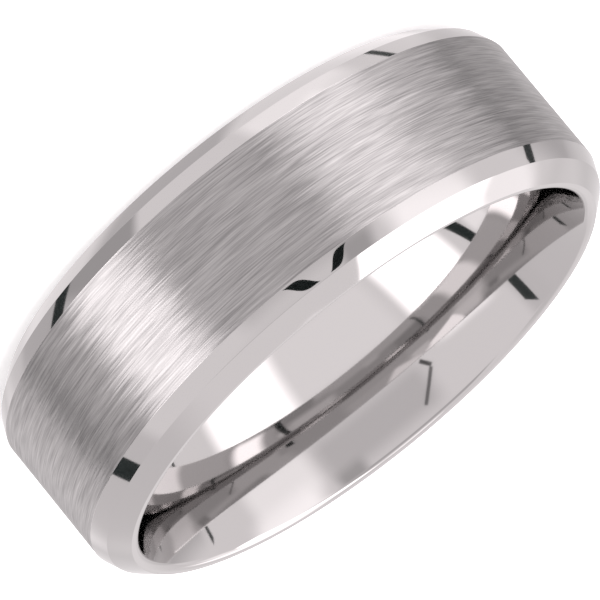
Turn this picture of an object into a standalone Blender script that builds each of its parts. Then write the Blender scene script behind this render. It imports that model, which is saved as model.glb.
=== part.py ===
"""A one-piece wedding band: satin centre, two polished bevels each side, comfort-fit bore.

The band is a single turned ring. Its closed cross-section is worked out below from a few
driving dimensions and swept once round the finger axis, +Z, by a Screw modifier. The band
lies on one side face, and the frame's origin is the middle of the finger hole, half way
through the width. Lengths are in millimetres until the mesh is made in metres.
"""

import math

import bpy

# Driving dimensions, in millimetres.
OUTER_RADIUS = 12.21          # satin cylinder, the largest radius
BAND_WIDTH = 8.0              # along the finger, over both side faces
SATIN_WIDTH = 5.39            # straight satin cylinder between the bevels
BEVEL_RIDGE_RADIUS = 11.925   # ridge where the shallow bevel meets the steep one
BEVEL_RIDGE_HEIGHT = 3.365    # that ridge's distance from the middle of the width
SIDE_OUTER_RADIUS = 11.23     # where the steep bevel meets the flat side face
BORE_RADIUS = 10.0            # tightest radius of the finger hole, at the middle of the width
COMFORT_ARC_RADIUS = 9.6      # the bore is domed towards the finger with this radius
EDGE_FILLET_RADIUS = 0.32     # rounding between the bore and the flat side face

SWEEP_STEPS = 96              # facets round the ring
COMFORT_ARC_STEPS = 10        # facets over the bore's arc
EDGE_FILLET_STEPS = 5         # facets over each rounding

METRES_PER_MM = 0.001
MERGE_DISTANCE = 0.00001      # metres, closes the sweep on itself
SHARP_ANGLE = math.radians(15.0)

METAL_COLOUR = (0.62, 0.605, 0.60, 1.0)
METAL_ROUGHNESS = 0.2


def arc(centre, radius, start, end, steps):
    """Points (radius, height) along an arc, with both its ends, angles in radians."""
    points = []
    for i in range(steps + 1):
        angle = start + (end - start) * i / steps
        points.append((centre[0] + radius * math.cos(angle),
                       centre[1] + radius * math.sin(angle)))
    return points


def outer_side():
    """Corners of the outside, from the top side face down to the bottom one."""
    upper = [
        (SIDE_OUTER_RADIUS, BAND_WIDTH / 2),
        (BEVEL_RIDGE_RADIUS, BEVEL_RIDGE_HEIGHT),
        (OUTER_RADIUS, SATIN_WIDTH / 2),
    ]
    lower = [(radius, -height) for radius, height in reversed(upper)]
    return upper + lower


def bore_side():
    """Points of the bore, from the bottom side face up to the top one.

    Each rounding touches its side face and lies inside the bore's arc, touching it where
    the line through both centres meets them.
    """
    arc_centre = (BORE_RADIUS + COMFORT_ARC_RADIUS, 0.0)
    fillet_height = BAND_WIDTH / 2 - EDGE_FILLET_RADIUS
    centre_distance = COMFORT_ARC_RADIUS - EDGE_FILLET_RADIUS
    fillet_radius = arc_centre[0] - math.sqrt(centre_distance ** 2 - fillet_height ** 2)
    slope = math.asin(fillet_height / centre_distance)
    quarter = math.pi / 2
    bottom = arc((fillet_radius, -fillet_height), EDGE_FILLET_RADIUS,
                 -quarter, slope - math.pi, EDGE_FILLET_STEPS)
    middle = arc(arc_centre, COMFORT_ARC_RADIUS, math.pi + slope, math.pi - slope,
                 COMFORT_ARC_STEPS)
    top = arc((fillet_radius, fillet_height), EDGE_FILLET_RADIUS,
              math.pi - slope, quarter, EDGE_FILLET_STEPS)
    return bottom + middle[1:-1] + top


def make_material():
    """Grey-white polished metal."""
    material = bpy.data.materials.new("band_metal")
    material.use_nodes = True
    shader = material.node_tree.nodes["Principled BSDF"]
    shader.inputs["Base Color"].default_value = METAL_COLOUR
    shader.inputs["Metallic"].default_value = 1.0
    shader.inputs["Roughness"].default_value = METAL_ROUGHNESS
    return material


def make_band():
    """The ring: its cross-section as a closed loop of edges, swept a full turn about Z."""
    profile = outer_side() + bore_side()
    corners = [(radius * METRES_PER_MM, 0.0, height * METRES_PER_MM)
               for radius, height in profile]
    edges = [(i, (i + 1) % len(corners)) for i in range(len(corners))]
    mesh = bpy.data.meshes.new("band")
    mesh.from_pydata(corners, edges, [])
    band = bpy.data.objects.new("band", mesh)
    bpy.context.scene.collection.objects.link(band)
    mesh.materials.append(make_material())

    sweep = band.modifiers.new("sweep", "SCREW")
    sweep.axis = "Z"
    sweep.angle = math.tau
    sweep.steps = SWEEP_STEPS
    sweep.render_steps = SWEEP_STEPS
    sweep.use_merge_vertices = True
    sweep.merge_threshold = MERGE_DISTANCE
    sweep.use_smooth_shade = True

    bpy.context.view_layer.objects.active = band
    band.select_set(True)
    bpy.ops.object.modifier_apply(modifier=sweep.name)
    mesh.shade_smooth()
    mesh.set_sharp_from_angle(angle=SHARP_ANGLE)
    return band


def main():
    """Clear the scene and make the band."""
    for thing in list(bpy.data.objects):
        bpy.data.objects.remove(thing)
    make_band()


if __name__ == "__main__":
    main()
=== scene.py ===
import math

import bpy
from mathutils import Matrix, Vector


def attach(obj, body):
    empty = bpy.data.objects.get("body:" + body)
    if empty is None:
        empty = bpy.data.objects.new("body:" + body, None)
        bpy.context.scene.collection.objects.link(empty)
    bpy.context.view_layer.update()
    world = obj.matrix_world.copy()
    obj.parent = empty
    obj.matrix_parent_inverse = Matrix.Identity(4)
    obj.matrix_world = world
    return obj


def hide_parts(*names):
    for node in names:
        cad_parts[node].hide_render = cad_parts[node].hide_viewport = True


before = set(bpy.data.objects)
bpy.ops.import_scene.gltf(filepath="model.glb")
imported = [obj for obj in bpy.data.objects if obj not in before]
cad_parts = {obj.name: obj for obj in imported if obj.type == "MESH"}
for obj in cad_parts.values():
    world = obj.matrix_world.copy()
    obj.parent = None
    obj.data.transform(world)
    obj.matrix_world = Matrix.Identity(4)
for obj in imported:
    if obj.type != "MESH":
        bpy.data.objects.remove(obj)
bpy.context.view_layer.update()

MM = 0.001

# The band's section, in millimetres: the same driving dimensions as the CAD part.
OUTER_RADIUS = 12.21
BAND_WIDTH = 8.0
SATIN_WIDTH = 5.39
BEVEL_RIDGE_RADIUS = 11.925
BEVEL_RIDGE_HEIGHT = 3.365
SIDE_OUTER_RADIUS = 11.23
BORE_RADIUS = 10.0
COMFORT_ARC_RADIUS = 9.6
EDGE_FILLET_RADIUS = 0.32

# The polished finish, which the CAD part leaves out: each ridge has a small rounding, in
# millimetres, and each bevel swells a little, so that its normal turns by this angle
# either way.
SATIN_RIDGE_ROUNDING = 0.03
BEVEL_RIDGE_ROUNDING = 0.05
SIDE_RIDGE_ROUNDING = 0.015
BEVEL_SWELL = math.radians(1.5)

# Facets round the ring, and along each stretch of the section.
SWEEP_STEPS = 540
RIDGE_STEPS = 4
BEVEL_STEPS = 6
EDGE_FILLET_STEPS = 14
COMFORT_ARC_STEPS = 48

# The camera, in millimetres and degrees: a long lens, low over the floor, and rolled so that
# the finger hole faces down and to the right.
VIEW_DISTANCE = 350.6
VIEW_ELEVATION = 16.57
VIEW_ROLL = 140.67
VIEW_AIM = (-0.015, -0.049, -0.146)
LENS = 546.8
SENSOR_WIDTH = 36.0
CLIP_START = 10.0
CLIP_END = 10000.0

# The floor and the overhead light, in millimetres and watts.
FLOOR_HALF_SIZE = 1500.0
FLOOR_COLOUR = (0.92, 0.92, 0.92, 1)
FLOOR_GLOW = 0.35
LIGHT_HEIGHT = 800.0
LIGHT_DIAMETER = 800.0
LIGHT_POWER = 3.0
WHITE = (1, 1, 1, 1)


# ---------------------------------------------------------------- the band's shape

# The order in which the band's mesh takes its materials.
SATIN_SLOT = 0
POLISHED_SLOT = 1


def turned(angle):
    """The unit vector at that angle from +X."""
    return Vector((math.cos(angle), math.sin(angle)))


def arc(centre, radius, start, end, steps):
    """(point, normal) pairs along an arc round metal, with both its ends, angles in radians."""
    pairs = []
    for step in range(steps + 1):
        normal = turned(start + (end - start) * step / steps)
        pairs.append((Vector(centre) + normal * radius, normal))
    return pairs


def rounded_corner(before, corner, after, radius, swell_before, swell_after):
    """The arc that rounds a corner of the outside, walked upwards and then inwards."""
    arriving = (Vector(corner) - Vector(before)).normalized()
    leaving = (Vector(after) - Vector(corner)).normalized()
    start = math.atan2(-arriving.x, arriving.y)
    end = math.atan2(-leaving.x, leaving.y)
    middle = (start + end) / 2
    centre = Vector(corner) - turned(middle) * (radius / math.cos((end - start) / 2))
    return arc(centre, radius, start + swell_before, end - swell_after, RIDGE_STEPS)


def swelling(first, last):
    """(point, normal) pairs between two others, on a bulge tangent to them at both ends."""
    (start, start_normal), (end, end_normal) = first, last
    from_angle = math.atan2(start_normal.y, start_normal.x)
    to_angle = math.atan2(end_normal.y, end_normal.x)
    rise = (end - start).length * math.tan((to_angle - from_angle) / 2) / 4
    outward = turned((from_angle + to_angle) / 2)
    pairs = []
    for step in range(1, BEVEL_STEPS):
        way = step / BEVEL_STEPS
        point = start.lerp(end, way) + outward * (rise * 4 * way * (1 - way))
        pairs.append((point, turned(from_angle + (to_angle - from_angle) * way)))
    return pairs


def outer_half():
    """(point, normal) pairs of the outside's upper half, from the satin up to the side face."""
    side_height = BAND_WIDTH / 2
    corners = [
        (OUTER_RADIUS, 0),
        (OUTER_RADIUS, SATIN_WIDTH / 2),
        (BEVEL_RIDGE_RADIUS, BEVEL_RIDGE_HEIGHT),
        (SIDE_OUTER_RADIUS, side_height),
        (BORE_RADIUS, side_height),
    ]
    roundings = [SATIN_RIDGE_ROUNDING, BEVEL_RIDGE_ROUNDING, SIDE_RIDGE_ROUNDING]
    swells = [0, BEVEL_SWELL, BEVEL_SWELL, 0]
    pairs = []
    for index, radius in enumerate(roundings):
        ridge = rounded_corner(*corners[index:index + 3], radius, *swells[index:index + 2])
        if pairs:
            pairs += swelling(pairs[-1], ridge[0])
        pairs += ridge
    return pairs


def bore_half():
    """(point, normal) pairs of the bore's upper half, from the side face down to the middle."""
    fillet_height = BAND_WIDTH / 2 - EDGE_FILLET_RADIUS
    arc_centre = BORE_RADIUS + COMFORT_ARC_RADIUS
    centre_distance = COMFORT_ARC_RADIUS - EDGE_FILLET_RADIUS
    slope = math.asin(fillet_height / centre_distance)
    fillet_radius = arc_centre - centre_distance * math.cos(slope)
    edge = arc((fillet_radius, fillet_height), EDGE_FILLET_RADIUS,
               math.pi / 2, math.pi - slope, EDGE_FILLET_STEPS)
    bulge = arc((arc_centre, 0), COMFORT_ARC_RADIUS, math.pi - slope, math.pi, COMFORT_ARC_STEPS)
    return edge + bulge[1:]


def mirrored(pairs):
    """The same pairs below the middle of the width, in the opposite order."""
    return [(Vector((point.x, -point.y)), Vector((normal.x, -normal.y)))
            for point, normal in reversed(pairs)]


def make_band_mesh():
    """The section swept round +Z, with exact normals.

    The section starts and ends on the satin cylinder, so the face that closes it is satin.
    """
    upper = outer_half() + bore_half()
    section = upper + mirrored(upper)[1:]
    count = len(section)
    vertices = []
    normals = []
    faces = []
    slots = []
    for turn in range(SWEEP_STEPS):
        angle = math.tau * turn / SWEEP_STEPS
        spoke = Vector((math.cos(angle), math.sin(angle), 0))
        for point, normal in section:
            vertices.append((spoke * point.x + Vector((0, 0, point.y))) * MM)
            normals.append(spoke * normal.x + Vector((0, 0, normal.y)))
        here = turn * count
        there = ((turn + 1) % SWEEP_STEPS) * count
        for i in range(count):
            j = (i + 1) % count
            faces.append((here + i, there + i, there + j, here + j))
            satin = i == count - 1
            slots.append(SATIN_SLOT if satin else POLISHED_SLOT)
    mesh = bpy.data.meshes.new("band_fine")
    mesh.from_pydata(vertices, [], faces)
    mesh.polygons.foreach_set("material_index", slots)
    mesh.shade_smooth()
    mesh.normals_split_custom_set_from_vertices(normals)
    return mesh


# ---------------------------------------------------------------- node helpers

def node(tree, kind, *sources, **settings):
    """The first output of a new node.

    Each source, a socket or a value, fills the input in its place, and None skips one.
    """
    made = tree.nodes.new(kind)
    for name, value in settings.items():
        setattr(made, name, value)
    for socket, source in zip(made.inputs, sources):
        if isinstance(source, bpy.types.NodeSocket):
            tree.links.new(source, socket)
        elif source is not None:
            socket.default_value = source
    return made.outputs[0]


def maths(tree, operation, *sources):
    """The result of a Math node."""
    return node(tree, "ShaderNodeMath", *sources, operation=operation)


def blend(tree, factor, low, high):
    """low where factor is 0 and high where it is 1, as numbers."""
    return node(tree, "ShaderNodeMapRange", factor, 0.0, 1.0, low, high)


# ---------------------------------------------------------------- the studio

def window(tree, value, half, soft):
    """1 where value is within half of 0, falling smoothly to 0 over soft on each side."""
    away = maths(tree, "ABSOLUTE", value)
    return node(tree, "ShaderNodeMapRange", away, half - soft / 2, half + soft / 2, 1.0, 0.0,
                interpolation_type="SMOOTHSTEP")


def tilted(tree, across, up, angle):
    """The same place across and up, in axes turned anticlockwise by that angle."""
    cosine, sine = math.cos(angle), math.sin(angle)
    across_turned = maths(tree, "ADD", maths(tree, "MULTIPLY", across, cosine),
                          maths(tree, "MULTIPLY", up, sine))
    up_turned = maths(tree, "SUBTRACT", maths(tree, "MULTIPLY", up, cosine),
                      maths(tree, "MULTIPLY", across, sine))
    return across_turned, up_turned


# The tent's cards, in degrees. name: azimuth and half width, elevation and half height, tilt,
# softness of the edges, and radiance as a share of the tent's strength. Each card replaces
# the ones above it where it lies over them. They were placed from the direction
# that each part of the ring mirrors and how bright it is in the photo.
CARDS = {
    "front_low": (-92, 30, -28, 18, 0, 10, 1.03),
    "front_port": (-98, 30, 17, 11, 0, 12, 0.68),
    "front_high": (-85, 48, 50, 15, 0, 12, 0.58),
    "floor_left": (-4, 42, -60, 12, 0, 9, 0.47),
    "floor_far": (80, 24, -67, 9, 0, 8, 0.60),
    "floor_right": (-156, 30, -58, 9, 0, 12, 1.25),
    "far_side": (92, 38, -5, 30, 0, 12, 0.70),
    "far_side_upper": (90, 40, 20, 9, 0, 10, 0.85),
    "left_side": (28, 32, 6, 50, 0, 16, 0.76),
    "left_side_low": (22, 18, -44, 8, 0, 8, 0.60),
    "left_side_middle": (36, 24, -16, 13, 0, 12, 1.10),
    "left_sliver": (5, 7, -19, 5, 0, 6, 1.20),
    "left_gap_shade": (-3, 8, 13, 13, 0, 8, 0.74),
    "far_low": (105, 8, -37, 8, 0, 8, 1.00),
    "right_grey": (146, 18, -13, 20, 0, 12, 0.55),
    "right_upper": (-152, 20, 10, 14, 0, 10, 1.22),
    "right_upper_left": (178, 14, 12, 12, 0, 12, 0.92),
    "left_box": (-36.5, 16, -22, 25, 0, 13, 3.40),
    "right_box": (-143, 21, -27, 24, 0, 12, 2.10),
    "upper_right_box": (-155, 18, 31, 12, 0, 12, 1.45),
    "top_box": (-178, 28, 57, 22, 60, 3, 2.60),
    "far_top_glow": (146, 11, 39, 9, 0, 8, 1.35),
    "far_top_box": (140, 34, 58, 12, 30, 8, 1.80),
    "zenith": (0, 200, 87, 5, 0, 2, 1.60),
    "hood_shade": (-120, 7, 29, 5, 0, 7, 0.50),
    "pole": (-70.3, 8.8, 18.7, 0.8, -46, 0.6, 0.15),
    "pole_foot": (-65, 2.9, 9.4, 1.0, 56, 0.6, 0.08),
}
BASE_RADIANCE = 0.93
TENT_STRENGTH = 1.33
TENT_TINT = (1.03, 0.985, 0.995, 1)
BACKDROP_STRENGTH = 1.2    # what the camera sees of the tent, behind the ring

# The tent's dark gaps, as leaning and tapering bars, in millimetres and degrees. name:
# top (x, y, z), foot (x, y, z), width at the top and at the foot, and the direction the
# width runs in.
BARS = {
    "gap_left_high": ((59.3, -1.2, 24), (59.3, -1.2, 0), 15.4, 15.4, -30),
    "gap_left_low": ((44.5, 4.6, -2), (44.9, -10.8, -80), 4.4, 7.5, 90),
    "gap_right": ((-101.6, 34.7, 24), (-104.7, 27.7, -150), 24, 20, -5),
}

# Two dark sheets just clear of the nearer upper bevel, which mirrors them as two black marks.
# Farther off they would show in the bore too. Each crosses the bevel as an S. name: azimuth
# at the bevel's outer ridge and at its inner one, and half width, in degrees round the band.
# The clearance is in millimetres.
HOOD_CLEARANCE = 1.5
HOOD_STEPS = 16
HOODS = {
    "hood_left": (-88.9, -95.0, 1.5),
    "hood_right": (-102.6, -97.6, 1.25),
}
FLAG_COLOUR = (0.006, 0.014, 0.013, 1)
MATT_ROUGHNESS = 0.9


def make_world():
    """A light tent round the ring: pale, with the cards above, and white to the camera."""
    world = bpy.data.worlds.new("tent")
    world.use_nodes = True
    bpy.context.scene.world = world
    tree = world.node_tree
    tree.nodes.clear()
    coordinates = tree.nodes.new("ShaderNodeTexCoord")
    split = tree.nodes.new("ShaderNodeSeparateXYZ")
    tree.links.new(coordinates.outputs["Generated"], split.inputs[0])
    azimuth = maths(tree, "DEGREES", maths(tree, "ARCTAN2", split.outputs["Y"], split.outputs["X"]))
    elevation = maths(tree, "DEGREES", maths(tree, "ARCSINE", split.outputs["Z"]))
    radiance = BASE_RADIANCE
    for card in CARDS.values():
        card_azimuth, half_width, card_elevation, half_height, tilt, soft, level = card
        across = maths(tree, "SUBTRACT", azimuth, float(card_azimuth))
        across = maths(tree, "WRAP", across, 180.0, -180.0)
        up = maths(tree, "SUBTRACT", elevation, float(card_elevation))
        if tilt:
            across, up = tilted(tree, across, up, math.radians(tilt))
        inside = maths(tree, "MULTIPLY", window(tree, across, half_width, soft),
                       window(tree, up, half_height, soft))
        radiance = blend(tree, inside, radiance, level)
    radiance = maths(tree, "MULTIPLY", radiance, TENT_STRENGTH)
    path = tree.nodes.new("ShaderNodeLightPath")
    seen = blend(tree, path.outputs["Is Camera Ray"], radiance, BACKDROP_STRENGTH)
    background = tree.nodes.new("ShaderNodeBackground")
    background.inputs["Color"].default_value = TENT_TINT
    tree.links.new(seen, background.inputs["Strength"])
    output = tree.nodes.new("ShaderNodeOutputWorld")
    tree.links.new(background.outputs[0], output.inputs["Surface"])


def make_floor():
    """A plain white floor under the band's lower side face, which the metal doesn't mirror."""
    half = FLOOR_HALF_SIZE * MM
    height = -BAND_WIDTH / 2 * MM
    mesh = bpy.data.meshes.new("floor")
    corners = [(-half, -half, height), (half, -half, height),
               (half, half, height), (-half, half, height)]
    mesh.from_pydata(corners, [], [(0, 1, 2, 3)])
    floor = bpy.data.objects.new("floor", mesh)
    bpy.context.scene.collection.objects.link(floor)
    floor.visible_glossy = False
    material = bpy.data.materials.new("floor_white")
    material.use_nodes = True
    shader = material.node_tree.nodes["Principled BSDF"]
    shader.inputs["Base Color"].default_value = FLOOR_COLOUR
    shader.inputs["Roughness"].default_value = MATT_ROUGHNESS
    shader.inputs["Emission Color"].default_value = WHITE
    shader.inputs["Emission Strength"].default_value = FLOOR_GLOW
    mesh.materials.append(material)


def make_flag(name, corners, material):
    """A dark sheet with that outline in millimetres, seen only as the metal mirrors it."""
    mesh = bpy.data.meshes.new(name)
    outline = tuple(range(len(corners)))
    mesh.from_pydata([Vector(corner) * MM for corner in corners], [], [outline])
    mesh.materials.append(material)
    flag = bpy.data.objects.new(name, mesh)
    bpy.context.scene.collection.objects.link(flag)
    flag.visible_camera = False
    flag.visible_diffuse = False
    flag.visible_shadow = False


def level_direction(degrees):
    """The level unit vector at that many degrees from +X."""
    angle = math.radians(degrees)
    return Vector((math.cos(angle), math.sin(angle), 0))


def bevel_mirrored(azimuth, inwards, distance):
    """The place that far along a sight line once the upper shallow bevel has mirrored it.

    The line meets the bevel at that azimuth in degrees, and that share of the way inwards.
    """
    outer = Vector((OUTER_RADIUS, SATIN_WIDTH / 2))
    inner = Vector((BEVEL_RIDGE_RADIUS, BEVEL_RIDGE_HEIGHT))
    radius, height = outer.lerp(inner, inwards)
    along = inner - outer
    spoke = level_direction(azimuth)
    normal = (spoke * along.y + Vector((0, 0, -along.x))).normalized()
    elevation = math.radians(VIEW_ELEVATION)
    sight = Vector((0, math.cos(elevation), -math.sin(elevation)))
    place = spoke * radius + Vector((0, 0, height))
    return place + sight.reflect(normal) * distance


def eased(way):
    """0 to 1 with a slow start and a slow end."""
    return way * way * (3 - 2 * way)


def make_flags():
    """The dark gaps between the tent's sides, and the two dark sheets by the bevel."""
    material = bpy.data.materials.new("flag_black")
    material.use_nodes = True
    shader = material.node_tree.nodes["Principled BSDF"]
    shader.inputs["Base Color"].default_value = FLAG_COLOUR
    shader.inputs["Roughness"].default_value = MATT_ROUGHNESS
    for name, (top, foot, top_width, foot_width, direction) in BARS.items():
        side = level_direction(direction) / 2
        top = Vector(top)
        foot = Vector(foot)
        make_flag(name, [foot - side * foot_width, foot + side * foot_width,
                         top + side * top_width, top - side * top_width], material)
    for name, (outer_azimuth, inner_azimuth, half_width) in HOODS.items():
        near_side = []
        far_side = []
        for step in range(HOOD_STEPS + 1):
            way = step / HOOD_STEPS
            azimuth = outer_azimuth + (inner_azimuth - outer_azimuth) * way
            inwards = eased(eased(way))
            half = half_width * math.sqrt(math.sin(math.pi * way))
            near_side.append(bevel_mirrored(azimuth - half, inwards, HOOD_CLEARANCE))
            far_side.append(bevel_mirrored(azimuth + half, inwards, HOOD_CLEARANCE))
        # The two sides meet in a point at both ends, so those two points go in once.
        make_flag(name, near_side + far_side[-2:0:-1], material)


def make_lights():
    """One broad soft light overhead, for the floor and the ring's own shadow."""
    light = bpy.data.lights.new("overhead", "AREA")
    light.shape = "DISK"
    light.size = LIGHT_DIAMETER * MM
    light.energy = LIGHT_POWER
    lamp = bpy.data.objects.new("overhead", light)
    lamp.location = (0, 0, LIGHT_HEIGHT * MM)
    lamp.visible_glossy = False
    bpy.context.scene.collection.objects.link(lamp)


def make_camera():
    """The camera, aimed from its distance and elevation and then rolled about its own axis."""
    data = bpy.data.cameras.new("camera")
    data.lens = LENS
    data.sensor_width = SENSOR_WIDTH
    data.clip_start = CLIP_START * MM
    data.clip_end = CLIP_END * MM
    camera = bpy.data.objects.new("camera", data)
    tilt = Matrix.Rotation(math.radians(90 - VIEW_ELEVATION), 4, "X")
    roll = Matrix.Rotation(math.radians(VIEW_ROLL), 4, "Z")
    turn = tilt @ roll
    back = turn.to_3x3() @ Vector((0, 0, 1))
    place = (Vector(VIEW_AIM) + back * VIEW_DISTANCE) * MM
    camera.matrix_world = Matrix.Translation(place) @ turn
    bpy.context.scene.collection.objects.link(camera)
    bpy.context.scene.camera = camera


# ---------------------------------------------------------------- materials

# Base colours. They are darker than the ring looks, as most of the tent is brighter than white.
METAL = (0.472, 0.461, 0.460, 1)
SATIN_DARK = (0.228, 0.222, 0.223, 1)
SATIN_LIGHT = (0.472, 0.461, 0.461, 1)
SATIN_ROUGHNESS = 0.38
QUARTER_TURN = 0.25          # lays the stretched highlight across the brush lines
SATIN_SWAY = 0.25            # range of the normal's tip along the brushing, by its length
POLISH_ROUGHNESS = (0.035, 0.075)
WAVE_HEIGHT = 0.00015        # of the polish's waviness, in millimetres

# The metal's patterns: waves to a millimetre in the plane of the ring and along its axis,
# and the levels of finer detail in them.
NOISE_MIDDLE = 0.5
FINE_LINES = (0.6, 22.0, 2.0)
BROAD_LINES = (0.25, 5.0, 3.0)
FINE_SHARE = 0.7
SWAY_LINES = (0.45, 16.0, 2.0)
HAZE_PATCHES = (0.5, 1.5, 3.0)
WAVES = (0.45, 0.9, 1.0)
RAMP_ENDS = (0.3, 0.7)       # the noise levels that give the satin's two colours


def metal(name):
    """A new metal, its node tree and the tree's shader."""
    material = bpy.data.materials.new(name)
    material.use_nodes = True
    shader = material.node_tree.nodes["Principled BSDF"]
    shader.inputs["Base Color"].default_value = METAL
    shader.inputs["Metallic"].default_value = 1.0
    return material, material.node_tree, shader


def streaks(tree, along, across, detail):
    """Noise with that many waves to a millimetre in the plane of the ring and along its axis."""
    coordinates = tree.nodes.new("ShaderNodeTexCoord").outputs["Object"]
    scaled = node(tree, "ShaderNodeVectorMath", coordinates,
                  (along / MM, along / MM, across / MM), operation="MULTIPLY")
    return node(tree, "ShaderNodeTexNoise", scaled, None, 1.0, detail)


def make_satin():
    """Brushed metal: fine lines round the band, each tipped its own way along the brushing."""
    material, tree, shader = metal("satin_metal")
    shader.inputs["Roughness"].default_value = SATIN_ROUGHNESS
    shader.inputs["Anisotropic"].default_value = 1.0
    shader.inputs["Anisotropic Rotation"].default_value = QUARTER_TURN
    tangent = node(tree, "ShaderNodeTangent", direction_type="RADIAL", axis="Z")
    tree.links.new(tangent, shader.inputs["Tangent"])
    fine = maths(tree, "MULTIPLY", streaks(tree, *FINE_LINES), FINE_SHARE)
    broad = maths(tree, "MULTIPLY", streaks(tree, *BROAD_LINES), 1 - FINE_SHARE)
    ramp = tree.nodes.new("ShaderNodeValToRGB")
    colours = (SATIN_DARK, SATIN_LIGHT)
    for end, position, colour in zip(ramp.color_ramp.elements, RAMP_ENDS, colours):
        end.position = position
        end.color = colour
    tree.links.new(maths(tree, "ADD", fine, broad), ramp.inputs[0])
    tree.links.new(ramp.outputs[0], shader.inputs["Base Color"])
    sway = maths(tree, "SUBTRACT", streaks(tree, *SWAY_LINES), NOISE_MIDDLE)
    sway = maths(tree, "MULTIPLY", sway, SATIN_SWAY)
    aside = tree.nodes.new("ShaderNodeVectorMath")
    aside.operation = "SCALE"
    tree.links.new(tangent, aside.inputs["Vector"])
    tree.links.new(sway, aside.inputs["Scale"])
    surface = tree.nodes.new("ShaderNodeNewGeometry").outputs["Normal"]
    swayed = node(tree, "ShaderNodeVectorMath", surface, aside.outputs[0], operation="ADD")
    swayed = node(tree, "ShaderNodeVectorMath", swayed, operation="NORMALIZE")
    tree.links.new(swayed, shader.inputs["Normal"])
    return material


def make_polished():
    """Mirror-polished metal: a breath of polishing haze in patches, and the faintest waves."""
    material, tree, shader = metal("polished_metal")
    haze = streaks(tree, *HAZE_PATCHES)
    tree.links.new(blend(tree, haze, *POLISH_ROUGHNESS), shader.inputs["Roughness"])
    wave = streaks(tree, *WAVES)
    bump = tree.nodes.new("ShaderNodeBump")
    bump.inputs["Strength"].default_value = 1.0
    bump.inputs["Distance"].default_value = WAVE_HEIGHT * MM
    tree.links.new(wave, bump.inputs["Height"])
    tree.links.new(bump.outputs[0], shader.inputs["Normal"])
    return material


def make_band():
    """The fine band in place of the CAD solid."""
    mesh = make_band_mesh()
    # In the order of SATIN_SLOT and POLISHED_SLOT.
    mesh.materials.append(make_satin())
    mesh.materials.append(make_polished())
    band = bpy.data.objects.new("band_fine", mesh)
    bpy.context.scene.collection.objects.link(band)
    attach(band, "root")
    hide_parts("band")


make_camera()
make_world()
make_floor()
make_flags()
make_lights()
make_band()
bpy.context.scene.view_settings.view_transform = "Standard"
